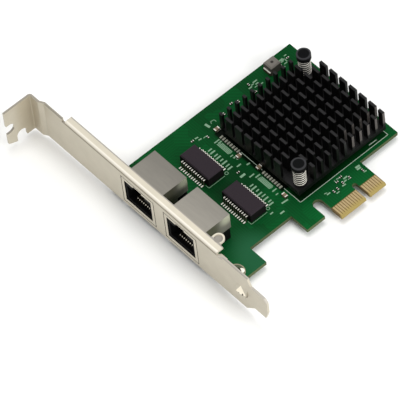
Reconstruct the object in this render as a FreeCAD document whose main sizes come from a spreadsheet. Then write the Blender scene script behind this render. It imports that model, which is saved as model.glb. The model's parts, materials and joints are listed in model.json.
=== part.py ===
"""Network interface card: a low board with two shielded jacks, a finned heatsink and a slot bracket.

Frame, in millimetres: the origin is where the key notch's centre line meets the mating edge, on the
component face. +X runs from the bracket along the card, +Y from the mating edge to the bracket's
screw tab, +Z out of the component face.
"""
import FreeCAD, Part
import os
import re
import Sketcher

os.makedirs("parts", exist_ok=True)
doc = FreeCAD.newDocument("network_card")

# Driving dimensions: every one is a cell of the sheet, and every shape below is bound to the cells.
SIZES = [
    # board
    ("board_thickness", "1.57"),
    ("board_left", "-57.15"),
    ("board_right", "25.85"),
    ("board_margin", "4.7"),
    ("board_shoulder", "13.1"),
    ("tongue_left", "-12.15"),
    ("tongue_right", "8.15"),
    ("key_width", "1.9"),
    ("key_depth", "7.8"),
    ("bevel", "0.4"),
    ("slot_left", "-16.0"),
    ("slot_top", "11.9"),
    ("foot_left", "-24.1"),
    ("foot_bottom", "4.5"),
    ("notch_left", "-42.95"),
    ("notch_top", "12.7"),
    # gold contacts of the mating edge
    ("gold_width", "0.7"),
    ("gold_pitch", "1.0"),
    ("gold_bottom", "0.5"),
    ("gold_length", "4.7"),
    ("gold_thickness", "0.05"),
    ("gold_left_first", "-11.5"),
    ("gold_right_first", "1.5"),
    # plated hole
    ("plated_place_x", "-53.0"),
    ("plated_place_y", "8.7"),
    ("plated_bore", "3.8"),
    ("plated_ring", "6.6"),
    ("plated_thickness", "0.05"),
    # bracket
    ("bracket_face", "-59.6"),
    ("sheet_thickness", "0.86"),
    ("bracket_width", "18.42"),
    ("bracket_low", "-1.6"),
    ("tab_height", "105.67"),
    ("tab_reach", "12.7"),
    ("tab_bend", "1.3"),
    ("joggle_drop", "6.9"),
    ("joggle_run", "1.95"),
    ("joggle_depth", "1.0"),
    ("tab_slot_width", "4.4"),
    ("tab_slot_depth", "3.5"),
    ("tab_slot_middle", "7.4"),
    ("tab_corner_x", "3.3"),
    ("tab_corner_z", "1.6"),
    ("tab_arc_width", "4.4"),
    ("tab_arc_place", "6.7"),
    ("tab_arc_top", "2.8"),
    ("flange_width", "3.2"),
    ("flange_low", "9.4"),
    ("flange_drop", "18.2"),
    ("flange_bend", "0.7"),
    ("relief_upper", "1.7"),
    ("relief_lower", "2.8"),
    ("relief_depth", "1.5"),
    ("lug_offset", "1.85"),
    ("lug_width", "4.3"),
    ("lug_reach", "6.8"),
    ("dimple_width", "2.9"),
    ("dimple_depth", "0.35"),
    ("neck_top_y", "-6.0"),
    ("neck_top_z", "16.4"),
    ("neck_top_end", "-7.33"),
    ("neck_low_y", "-4.03"),
    ("neck_low_end", "-8.53"),
    ("tip_low", "2.45"),
    ("tip_high", "13.2"),
    ("tip_end", "-15.3"),
    ("tip_taper", "1.3"),
    ("tip_low_rise", "4.0"),
    ("lance_top", "-0.23"),
    ("lance_length", "5.1"),
    ("lance_width", "3.4"),
    ("lance_middle", "7.4"),
    ("lance_height", "1.2"),
    ("lance_slit", "0.8"),
    ("cut_margin", "1.0"),
    ("ear_width", "6.0"),
    ("ear_length", "7.0"),
    ("ear_corner", "1.6"),
    ("ear_upper_gap", "5.15"),
    ("ear_lower_gap", "4.57"),
    ("ear_hole_place", "4.2"),
    # screws
    ("screw_shank", "2.9"),
    ("screw_head", "5.5"),
    ("screw_head_height", "1.8"),
    ("screw_proud", "0.3"),
    ("screw_recess", "0.6"),
    ("screw_recess_length", "3.0"),
    ("screw_recess_depth", "0.9"),
    ("screw_clearance", "0.3"),
    # jacks
    ("port_a_middle", "50.3"),
    ("port_b_middle", "28.42"),
    ("shield_width", "16.3"),
    ("shield_height", "13.3"),
    ("shield_depth", "15.4"),
    ("shield_wall", "0.3"),
    ("port_gap", "0.3"),
    ("shield_open_width", "13.7"),
    ("shield_open_low", "1.6"),
    ("shield_open_high", "12.1"),
    ("shield_notch_width", "4.2"),
    ("shield_notch_high", "12.8"),
    ("shield_rear_place", "10.5"),
    ("shield_rear_low", "6.0"),
    ("leg_width", "1.3"),
    ("leg_place", "9.4"),
    ("leg_length", "2.6"),
    ("leg_gap", "0.25"),
    ("housing_gap", "0.05"),
    ("plug_width", "11.8"),
    ("plug_low", "2.7"),
    ("plug_high", "9.7"),
    ("plug_depth", "12.4"),
    ("latch_width", "6.4"),
    ("latch_high", "11.0"),
    ("peg_side", "2.4"),
    ("peg_length", "2.3"),
    ("peg_inset", "2.435"),
    ("peg_place", "6.0"),
    ("peg_clearance", "0.15"),
    ("wire_pitch", "1.016"),
    ("wire_width", "0.46"),
    ("wire_thickness", "0.3"),
    ("wire_floor", "1.6"),
    ("wire_front", "1.3"),
    ("wire_tip_place", "7.5"),
    ("wire_tip_height", "5.2"),
    ("wire_tail_front", "9.6"),
    ("wire_tail_rear", "12.14"),
    ("wire_tail_length", "2.8"),
    ("wire_slot_gap", "0.06"),
    ("wire_hole_gap", "0.12"),
    # transformers
    ("transformer_place", "-32.15"),
    ("transformer_a_middle", "49.2"),
    ("transformer_b_middle", "27.5"),
    ("transformer_width", "6.9"),
    ("transformer_length", "14.8"),
    ("transformer_lift", "0.2"),
    ("transformer_top", "4.3"),
    ("transformer_bevel", "0.4"),
    ("lead_pitch", "1.03"),
    ("lead_width", "0.42"),
    ("lead_thickness", "0.22"),
    ("lead_exit", "2.4"),
    ("lead_shoulder", "4.2"),
    ("lead_knee", "4.5"),
    ("lead_reach", "5.65"),
    # heatsink
    ("sink_left", "-17.2"),
    ("sink_low", "16.0"),
    ("sink_width", "40.4"),
    ("sink_length", "40.1"),
    ("sink_seat", "1.7"),
    ("sink_base", "2.0"),
    ("fin_height", "7.4"),
    ("fin_thickness", "1.0"),
    ("fin_pitch", "3.58"),
    ("groove_width", "1.55"),
    ("groove_pitch", "4.95"),
    ("groove_first", "3.13"),
    ("clear_width", "6.1"),
    ("clear_length", "7.6"),
    # push pins and springs
    ("pin_a_place_x", "-13.8"),
    ("pin_a_place_y", "18.9"),
    ("pin_b_place_x", "19.4"),
    ("pin_b_place_y", "52.7"),
    ("pin_head", "5.3"),
    ("pin_head_height", "2.2"),
    ("pin_head_seat", "12.0"),
    ("pin_shaft", "2.8"),
    ("pin_clearance", "0.2"),
    ("barb_diameter", "3.9"),
    ("barb_drop", "0.15"),
    ("barb_length", "1.9"),
    ("barb_tip", "1.6"),
    ("spring_outside", "4.8"),
    ("spring_wire", "0.6"),
    ("spring_turns", "5.0"),
    # controller under the heatsink
    ("chip_middle_x", "3.0"),
    ("chip_middle_y", "36.05"),
    ("chip_side", "17.0"),
    ("chip_height", "1.4"),
    ("pad_side", "13.0"),
    # power inductor
    ("coil_place_x", "14.05"),
    ("coil_place_y", "64.1"),
    ("coil_width", "4.5"),
    ("coil_length", "4.2"),
    ("coil_height", "4.2"),
    ("coil_bevel", "0.5"),
    ("coil_bar_width", "0.5"),
    ("coil_bar_length", "3.5"),
    ("coil_bar_height", "1.6"),
    # resistor rows
    ("row_place", "-18.45"),
    ("row_a_first", "45.9"),
    ("row_b_first", "24.2"),
    ("row_pitch", "1.24"),
    ("resistor_length", "1.3"),
    ("resistor_width", "0.62"),
    ("resistor_height", "0.42"),
    ("resistor_cap", "0.28"),
    # capacitors
    ("capacitor_length", "2.0"),
    ("capacitor_width", "1.25"),
    ("capacitor_height", "1.0"),
    ("capacitor_cap", "0.4"),
    ("bypass_length", "1.0"),
    ("bypass_width", "0.55"),
    ("bypass_height", "0.5"),
    ("bypass_cap", "0.24"),
]

# Places of the loose capacitors: centre X, centre Y and the axis they lie along.
CAPACITORS = [
    ("-17.5", "58.1", "x"),
    ("-18.2", "35.6", "x"),
    ("-20.0", "20.4", "y"),
    ("-19.8", "44.1", "x"),
]
BYPASSES = [
    ("-6.9", "9.8", "y"),
    ("-5.2", "9.8", "y"),
    ("-3.5", "12.0", "x"),
    ("-2.3", "10.4", "y"),
    ("-1.2", "12.7", "x"),
    ("0.9", "10.4", "y"),
    ("6.2", "9.5", "y"),
    ("-10.1", "60.1", "x"),
    ("-11.2", "61.4", "y"),
    ("-21.8", "57.9", "y"),
    ("-24.6", "39.1", "x"),
    ("-26.8", "60.3", "x"),
    ("-6.4", "63.0", "x"),
    ("-4.0", "61.9", "y"),
    ("3.0", "60.7", "x"),
    ("3.4", "64.8", "y"),
    ("21.0", "64.0", "x"),
]

GOLD_LEFT_COUNT = 11
GOLD_RIGHT_COUNT = 7
WIRES_PER_ROW = 4
LEADS_PER_SIDE = 12
FIN_CHANNELS = 11
FIN_GROOVES = 8
RESISTORS_PER_ROW = 8

sheet = doc.addObject("Spreadsheet::Sheet", "sizes")
for row, (word, number) in enumerate(SIZES, 1):
    sheet.set("A%d" % row, word)
    sheet.set("B%d" % row, number)
    sheet.setAlias("B%d" % row, word)
doc.recompute()
WORDS = {word for word, number in SIZES}
CLOSE = 1e-4
nodes = []


def bound(text):
    """The expression with each cell's word written as a reference to the sheet."""
    return re.sub(r"[a-z]\w*",
                  lambda m: "sizes." + m.group(0) if m.group(0) in WORDS else m.group(0), text)


def value(text):
    """The number that an expression has now, worked out by FreeCAD."""
    return float(sheet.evalExpression(bound(text)))


def bind(item, name, text):
    item.setExpression(name, bound(text))


def add(item, label):
    """Name a finished sub-part and keep it for the export."""
    item.Label = label
    nodes.append(item)
    return item


def new_body(name, x="0", y="0", z="0"):
    body = doc.addObject("PartDesign::Body", name)
    body.AllowCompound = True
    for axis, text in zip("xyz", (x, y, z)):
        bind(body, "Placement.Base." + axis, text)
    return body


def origin_part(body, role):
    for feature in body.Origin.OriginFeatures:
        if feature.Role == role:
            return feature
    raise ValueError(role)


def sketch(body, role, shift="0"):
    """A sketch on one of the body's own planes, moved along that plane's normal."""
    drawing = body.newObject("Sketcher::SketchObject", body.Name + "_sketch")
    drawing.AttachmentSupport = [(origin_part(body, role), "")]
    drawing.MapMode = "FlatFace"
    bind(drawing, "AttachmentOffset.Base.z", shift)
    return drawing


def pin_point(drawing, geometry, point, u, v):
    for kind, text in (("DistanceX", u), ("DistanceY", v)):
        number = drawing.addConstraint(Sketcher.Constraint(kind, -1, 1, geometry, point, value(text)))
        drawing.setExpression("Constraints[%d]" % number, bound(text))


def outline(drawing, corners):
    """A closed outline of straight lines, every corner bound to the sheet."""
    first = drawing.GeometryCount
    count = len(corners)
    spots = [FreeCAD.Vector(value(u), value(v), 0) for u, v in corners]
    for n in range(count):
        drawing.addGeometry(Part.LineSegment(spots[n], spots[(n + 1) % count]), False)
    for n in range(count):
        follower = first + (n + 1) % count
        drawing.addConstraint(Sketcher.Constraint("Coincident", first + n, 2, follower, 1))
    for n, (u, v) in enumerate(corners):
        pin_point(drawing, first + n, 1, u, v)


def rectangle(drawing, u0, v0, u1, v1):
    outline(drawing, [(u0, v0), (u1, v0), (u1, v1), (u0, v1)])


def circle(drawing, u, v, diameter):
    middle = FreeCAD.Vector(value(u), value(v), 0)
    number = drawing.addGeometry(Part.Circle(middle, FreeCAD.Vector(0, 0, 1), value(diameter) / 2), False)
    pin_point(drawing, number, 3, u, v)
    size = drawing.addConstraint(Sketcher.Constraint("Diameter", number, value(diameter)))
    drawing.setExpression("Constraints[%d]" % size, bound(diameter))


def pad(body, drawing, length, reverse=False, middle=False):
    feature = body.newObject("PartDesign::Pad", body.Name + "_pad")
    feature.Profile = drawing
    bind(feature, "Length", length)
    feature.Reversed = reverse
    feature.Midplane = middle
    doc.recompute()
    body.Tip = feature
    return feature


def pocket(body, drawing, length=None, reverse=False, middle=False):
    """Cut the profile into the body, to a depth or right through, and insist that it removed material."""
    before = body.Shape.Volume
    feature = body.newObject("PartDesign::Pocket", body.Name + "_pocket")
    feature.Profile = drawing
    if length is None:
        feature.Type = "ThroughAll"
    else:
        bind(feature, "Length", length)
    feature.Reversed = reverse
    feature.Midplane = middle
    doc.recompute()
    body.Tip = feature
    if feature.Shape.Volume > before - CLOSE:
        raise ValueError("a pocket of %s removes nothing" % body.Name)
    return feature


def repeat(body, features, axis, pitch, count):
    """Repeat features in a row along one of the body's axes."""
    pattern = body.newObject("PartDesign::LinearPattern", body.Name + "_row")
    pattern.Originals = features
    pattern.Direction = (origin_part(body, axis), [""])
    bind(pattern, "Length", "(%s) * %d" % (pitch, count - 1))
    pattern.Occurrences = count
    doc.recompute()
    body.Tip = pattern
    return pattern


def edges_along(shape, axis, places):
    """Names of the straight edges that run along an axis (0, 1, 2) through the given other coordinates."""
    found = []
    others = [n for n in range(3) if n != axis]
    for number, edge in enumerate(shape.Edges, 1):
        if edge.Curve.TypeId != "Part::GeomLine":
            continue
        run = edge.Curve.Direction
        if abs(abs(run[axis]) - 1) > CLOSE:
            continue
        spot = edge.CenterOfMass
        for place in places:
            wanted = [value(text) for text in place]
            if all(abs(spot[n] - w) < CLOSE for n, w in zip(others, wanted)):
                found.append("Edge%d" % number)
    if len(found) < len(places):
        raise ValueError("an edge to dress is missing")
    return found


def dress(body, kind, axis, places, size):
    """Fillet or chamfer the body's edges that run along an axis through the given places."""
    base = body.Tip
    feature = body.newObject("PartDesign::" + kind, body.Name + "_" + kind.lower())
    feature.Base = (base, edges_along(base.Shape, axis, places))
    bind(feature, "Radius" if kind == "Fillet" else "Size", size)
    doc.recompute()
    body.Tip = feature
    return feature


def box(name, x0, y0, z0, dx, dy, dz):
    """A block bound to the sheet by its low corner and its three lengths."""
    block = doc.addObject("Part::Box", name)
    for prop, text in (("Length", dx), ("Width", dy), ("Height", dz)):
        bind(block, prop, text)
    for axis, text in zip("xyz", (x0, y0, z0)):
        bind(block, "Placement.Base." + axis, text)
    return block


def group(label, pieces):
    together = doc.addObject("Part::Compound", label)
    together.Links = pieces
    doc.recompute()
    return add(together, label)


def bevelled(label, name, x0, y0, z0, dx, dy, dz, size):
    """A moulded block with its four upper edges bevelled."""
    body = new_body(name)
    drawing = sketch(body, "XY_Plane", z0)
    rectangle(drawing, x0, y0, "(%s) + (%s)" % (x0, dx), "(%s) + (%s)" % (y0, dy))
    pad(body, drawing, dz)
    top = "(%s) + (%s)" % (z0, dz)
    base = body.Tip
    feature = body.newObject("PartDesign::Chamfer", name + "_chamfer")
    names = edges_along(base.Shape, 0, [(y0, top), ("(%s) + (%s)" % (y0, dy), top)])
    names += edges_along(base.Shape, 1, [(x0, top), ("(%s) + (%s)" % (x0, dx), top)])
    feature.Base = (base, names)
    bind(feature, "Size", size)
    doc.recompute()
    body.Tip = feature
    return add(body, label)


# Places worked out once from the cells and used by every piece that meets there.
SHEET_INNER = "bracket_face + sheet_thickness"
SCREW_X = "(" + SHEET_INNER + " + ear_hole_place)"
BRACKET_HIGH = "(bracket_low + bracket_width)"
SOLDER_FACE = "(-board_thickness)"
SHIELD_REAR = "(bracket_face + shield_depth)"
HOUSING_FRONT = "(bracket_face + shield_wall + housing_gap)"
PORTS = (("a", "port_a_middle"), ("b", "port_b_middle"))
ROWS = (("front", "wire_tail_front", 0), ("rear", "wire_tail_rear", 1))
PINS = (("a", "pin_a_place_x", "pin_a_place_y"), ("b", "pin_b_place_x", "pin_b_place_y"))
EAR_UPPER = "(port_a_middle + shield_width / 2 + ear_upper_gap)"
EAR_LOWER = "(port_b_middle - shield_width / 2 - ear_lower_gap)"
EARS = (("upper", EAR_UPPER), ("lower", EAR_LOWER))
BOARD_TOP = "(" + EAR_UPPER + " + board_margin)"
JOGGLE_START = "(tab_height - joggle_drop)"
JOGGLE_END = "(tab_height - joggle_drop + joggle_run)"
FLANGE_HIGH = "(tab_height - flange_drop)"
LUG_LOW = "(flange_low + lug_offset)"
PEG_SPREAD = "(shield_width / 2 - peg_inset)"


def wire_y(middle, number):
    """Centre of contact wire 0 to 7 of the jack at middle."""
    return "(%s + (%d - 3.5) * wire_pitch)" % (middle, number)


def make_board():
    body = new_body("board")
    drawing = sketch(body, "XY_Plane")
    slot_radius = "(tongue_left - slot_left) / 2"
    outline(drawing, [
        ("board_left", "foot_bottom"),
        ("notch_left", "foot_bottom"),
        ("notch_left", "notch_top"),
        ("foot_left", "notch_top"),
        ("foot_left", "foot_bottom"),
        ("slot_left", "foot_bottom"),
        ("slot_left", "slot_top - " + slot_radius),
        ("tongue_left", "slot_top - " + slot_radius),
        ("tongue_left", "0"),
        ("-key_width / 2", "0"),
        ("-key_width / 2", "key_depth - key_width / 2"),
        ("key_width / 2", "key_depth - key_width / 2"),
        ("key_width / 2", "0"),
        ("tongue_right", "0"),
        ("tongue_right", "board_shoulder"),
        ("board_right", "board_shoulder"),
        ("board_right", BOARD_TOP),
        ("board_left", BOARD_TOP),
    ])
    pad(body, drawing, "board_thickness", reverse=True)
    round_ends = sketch(body, "XY_Plane")
    circle(round_ends, "(tongue_left + slot_left) / 2", "slot_top - " + slot_radius,
           "tongue_left - slot_left")
    circle(round_ends, "0", "key_depth - key_width / 2", "key_width")
    pocket(body, round_ends)
    holes = sketch(body, "XY_Plane")
    circle(holes, "plated_place_x", "plated_place_y", "plated_bore")
    for side, y in EARS:
        circle(holes, SCREW_X, y, "screw_shank + screw_clearance")
    for side, x, y in PINS:
        circle(holes, x, y, "pin_shaft + 2 * pin_clearance")
    for side, middle in PORTS:
        for sign in ("-", "+"):
            spread = "%s %s " % (middle, sign)
            peg_y = spread + PEG_SPREAD
            rectangle(holes, "bracket_face + peg_place - peg_side / 2 - peg_clearance",
                      peg_y + " - peg_side / 2 - peg_clearance",
                      "bracket_face + peg_place + peg_side / 2 + peg_clearance",
                      peg_y + " + peg_side / 2 + peg_clearance")
            rectangle(holes, "bracket_face + leg_place - leg_width / 2 - leg_gap",
                      spread + "(shield_width / 2 - shield_wall - leg_gap)",
                      "bracket_face + leg_place + leg_width / 2 + leg_gap",
                      spread + "(shield_width / 2 + leg_gap)")
    pocket(body, holes)
    for side, middle in PORTS:
        for place, tail, odd in ROWS:
            slot = sketch(body, "XY_Plane")
            rectangle(slot, "bracket_face + %s - wire_hole_gap" % tail,
                      wire_y(middle, odd) + " - wire_width / 2 - wire_hole_gap",
                      "bracket_face + %s + wire_thickness + wire_hole_gap" % tail,
                      wire_y(middle, odd) + " + wire_width / 2 + wire_hole_gap")
            cut = pocket(body, slot)
            repeat(body, [cut], "Y_Axis", "2 * wire_pitch", WIRES_PER_ROW)
    dress(body, "Chamfer", 0, [("0", "0"), ("0", SOLDER_FACE)], "bevel")
    add(body, "circuit_board")


def make_gold():
    for label, z in (("component", "0"), ("solder", "-board_thickness - gold_thickness")):
        body = new_body("gold_" + label)
        for first, count in (("gold_left_first", GOLD_LEFT_COUNT), ("gold_right_first", GOLD_RIGHT_COUNT)):
            drawing = sketch(body, "XY_Plane", z)
            low = "%s - gold_width / 2" % first
            high = "%s + gold_width / 2" % first
            rectangle(drawing, low, "gold_bottom", high, "gold_bottom + gold_length")
            finger = pad(body, drawing, "gold_thickness")
            repeat(body, [finger], "X_Axis", "gold_pitch", count)
        add(body, "edge_contacts_%s_side" % label)


def make_plated_hole():
    body = new_body("plated", "plated_place_x", "plated_place_y")
    drawing = sketch(body, "XY_Plane")
    circle(drawing, "0", "0", "plated_ring")
    circle(drawing, "0", "0", "plated_bore")
    pad(body, drawing, "plated_thickness")
    add(body, "mounting_hole_ring")


def turn(body, drawing):
    """Revolve the profile about the body's own vertical axis."""
    feature = body.newObject("PartDesign::Revolution", body.Name + "_turn")
    feature.Profile = drawing
    feature.ReferenceAxis = (drawing, ["V_Axis"])
    feature.Angle = 360
    doc.recompute()
    body.Tip = feature
    return feature


def make_bracket():
    body = new_body("bracket_body")
    side = sketch(body, "XY_Plane", "bracket_low")
    out = "bracket_face"
    inner = "bracket_face + sheet_thickness"
    outline(side, [
        (out, "tip_end"),
        (out, JOGGLE_START),
        (out + " - joggle_depth", JOGGLE_END),
        (out + " - joggle_depth", "tab_height - sheet_thickness"),
        (out + " - tab_reach", "tab_height - sheet_thickness"),
        (out + " - tab_reach", "tab_height"),
        (inner + " - joggle_depth", "tab_height"),
        (inner + " - joggle_depth", JOGGLE_END),
        (inner, JOGGLE_START),
        (inner, "tip_end"),
    ])
    pad(body, side, "bracket_width")
    dress(body, "Fillet", 2, [(inner + " - joggle_depth", "tab_height")], "tab_bend")
    bend_inner = [(out + " - joggle_depth", "tab_height - sheet_thickness")]
    dress(body, "Fillet", 2, bend_inner, "tab_bend - sheet_thickness")
    flange = sketch(body, "XY_Plane", BRACKET_HIGH + " - sheet_thickness")
    lug_x = out + " + lug_reach - lug_width / 2"
    lug_y = LUG_LOW + " + lug_width / 2"
    outline(flange, [
        (out, "flange_low"),
        (out + " + flange_width", "flange_low"),
        (out + " + flange_width", LUG_LOW),
        (lug_x, LUG_LOW),
        (lug_x, LUG_LOW + " + lug_width"),
        (out + " + flange_width", LUG_LOW + " + lug_width"),
        (out + " + flange_width", FLANGE_HIGH),
        (out, FLANGE_HIGH),
    ])
    pad(body, flange, "sheet_thickness")
    lug = sketch(body, "XY_Plane", BRACKET_HIGH + " - sheet_thickness")
    circle(lug, lug_x, lug_y, "lug_width")
    pad(body, lug, "sheet_thickness")
    for name, y in EARS:
        ear = sketch(body, "XY_Plane")
        reach = inner + " + ear_length"
        outline(ear, [
            (out + " + sheet_thickness / 2", y + " - ear_width / 2"),
            (reach + " - ear_corner", y + " - ear_width / 2"),
            (reach, y + " - ear_width / 2 + ear_corner"),
            (reach, y + " + ear_width / 2 - ear_corner"),
            (reach + " - ear_corner", y + " + ear_width / 2"),
            (out + " + sheet_thickness / 2", y + " + ear_width / 2"),
        ])
        pad(body, ear, "sheet_thickness")
    face = sketch(body, "YZ_Plane")
    for name, middle in PORTS:
        low = middle + " - shield_width / 2 - port_gap"
        high = middle + " + shield_width / 2 + port_gap"
        rectangle(face, low, "-port_gap", high, "shield_height + port_gap")
    rectangle(face, FLANGE_HIGH, BRACKET_HIGH + " - relief_depth", FLANGE_HIGH + " + relief_upper",
              BRACKET_HIGH + " + cut_margin")
    rectangle(face, "flange_low - relief_lower", BRACKET_HIGH + " - relief_depth", "flange_low",
              BRACKET_HIGH + " + cut_margin")
    outline(face, [
        ("neck_top_y", BRACKET_HIGH + " + cut_margin"),
        ("neck_top_y", "neck_top_z"),
        ("neck_top_end", "tip_high"),
        ("tip_end + tip_taper", "tip_high"),
        ("tip_end", "tip_high - tip_taper"),
        ("tip_end - cut_margin", "tip_high - tip_taper"),
        ("tip_end - cut_margin", BRACKET_HIGH + " + cut_margin"),
    ])
    outline(face, [
        ("neck_low_y", "bracket_low - cut_margin"),
        ("neck_low_y", "bracket_low"),
        ("neck_low_end", "tip_low"),
        ("tip_end + tip_taper", "tip_low"),
        ("tip_end", "tip_low + tip_low_rise"),
        ("tip_end - cut_margin", "tip_low + tip_low_rise"),
        ("tip_end - cut_margin", "bracket_low - cut_margin"),
    ])
    lance_low = "lance_middle - lance_width / 2"
    lance_edge = lance_low + " + lance_slit"
    rectangle(face, "lance_top - lance_length", lance_low, "lance_top", lance_edge)
    pocket(body, face)
    tab = sketch(body, "XZ_Plane")
    far = "bracket_face - tab_reach"
    slot_end = far + " + tab_slot_depth - tab_slot_width / 2"
    rectangle(tab, far + " - cut_margin", "tab_slot_middle - tab_slot_width / 2", slot_end,
              "tab_slot_middle + tab_slot_width / 2")
    outline(tab, [
        (far + " - cut_margin", "bracket_low - cut_margin"),
        (far + " + tab_corner_x", "bracket_low - cut_margin"),
        (far + " + tab_corner_x", "bracket_low"),
        (far, "bracket_low + tab_corner_z"),
        (far + " - cut_margin", "bracket_low + tab_corner_z"),
    ])
    arc_x = "bracket_face - tab_arc_place"
    arc_z = "tab_arc_top - tab_arc_width / 2"
    rectangle(tab, arc_x + " - tab_arc_width / 2", "bracket_low - cut_margin",
              arc_x + " + tab_arc_width / 2", arc_z)
    pocket(body, tab)
    rounds = sketch(body, "XZ_Plane")
    circle(rounds, slot_end, "tab_slot_middle", "tab_slot_width")
    circle(rounds, arc_x, arc_z, "tab_arc_width")
    pocket(body, rounds)
    holes = sketch(body, "XY_Plane", "2 * sheet_thickness")
    for name, y in EARS:
        circle(holes, SCREW_X, y, "screw_shank")
    pocket(body, holes, "3 * sheet_thickness")
    dimple = sketch(body, "XY_Plane", BRACKET_HIGH)
    circle(dimple, lug_x, lug_y, "dimple_width")
    pocket(body, dimple, "dimple_depth")
    lance = sketch(body, "XZ_Plane", "-lance_top")
    outline(lance, [
        (out + " + sheet_thickness / 2", "lance_middle + lance_width / 2"),
        (out, "lance_middle + lance_width / 2"),
        (out + " - lance_height", lance_edge),
        (out + " + sheet_thickness / 2", lance_edge),
    ])
    pad(body, lance, "lance_length")
    dress(body, "Fillet", 1, [(out, BRACKET_HIGH)], "flange_bend")
    add(body, "bracket")


def make_screws():
    for side, y in EARS:
        body = new_body("screw_" + side, SCREW_X, y)
        drawing = sketch(body, "XZ_Plane")
        outline(drawing, [
            ("0", "-board_thickness - screw_head_height"),
            ("screw_head / 2", "-board_thickness - screw_head_height"),
            ("screw_head / 2", "-board_thickness"),
            ("screw_shank / 2", "-board_thickness"),
            ("screw_shank / 2", "sheet_thickness + screw_proud"),
            ("0", "sheet_thickness + screw_proud"),
        ])
        turn(body, drawing)
        cross = sketch(body, "XY_Plane", "-board_thickness - screw_head_height")
        arm = "screw_recess / 2"
        end = "screw_recess_length / 2"
        outline(cross, [
            ("-" + end, "-" + arm), ("-" + arm, "-" + arm), ("-" + arm, "-" + end), (arm, "-" + end),
            (arm, "-" + arm), (end, "-" + arm), (end, arm), (arm, arm),
            (arm, end), ("-" + arm, end), ("-" + arm, arm), ("-" + end, arm),
        ])
        pocket(body, cross, "screw_recess_depth", reverse=True)
        add(body, "bracket_screw_" + side)


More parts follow.
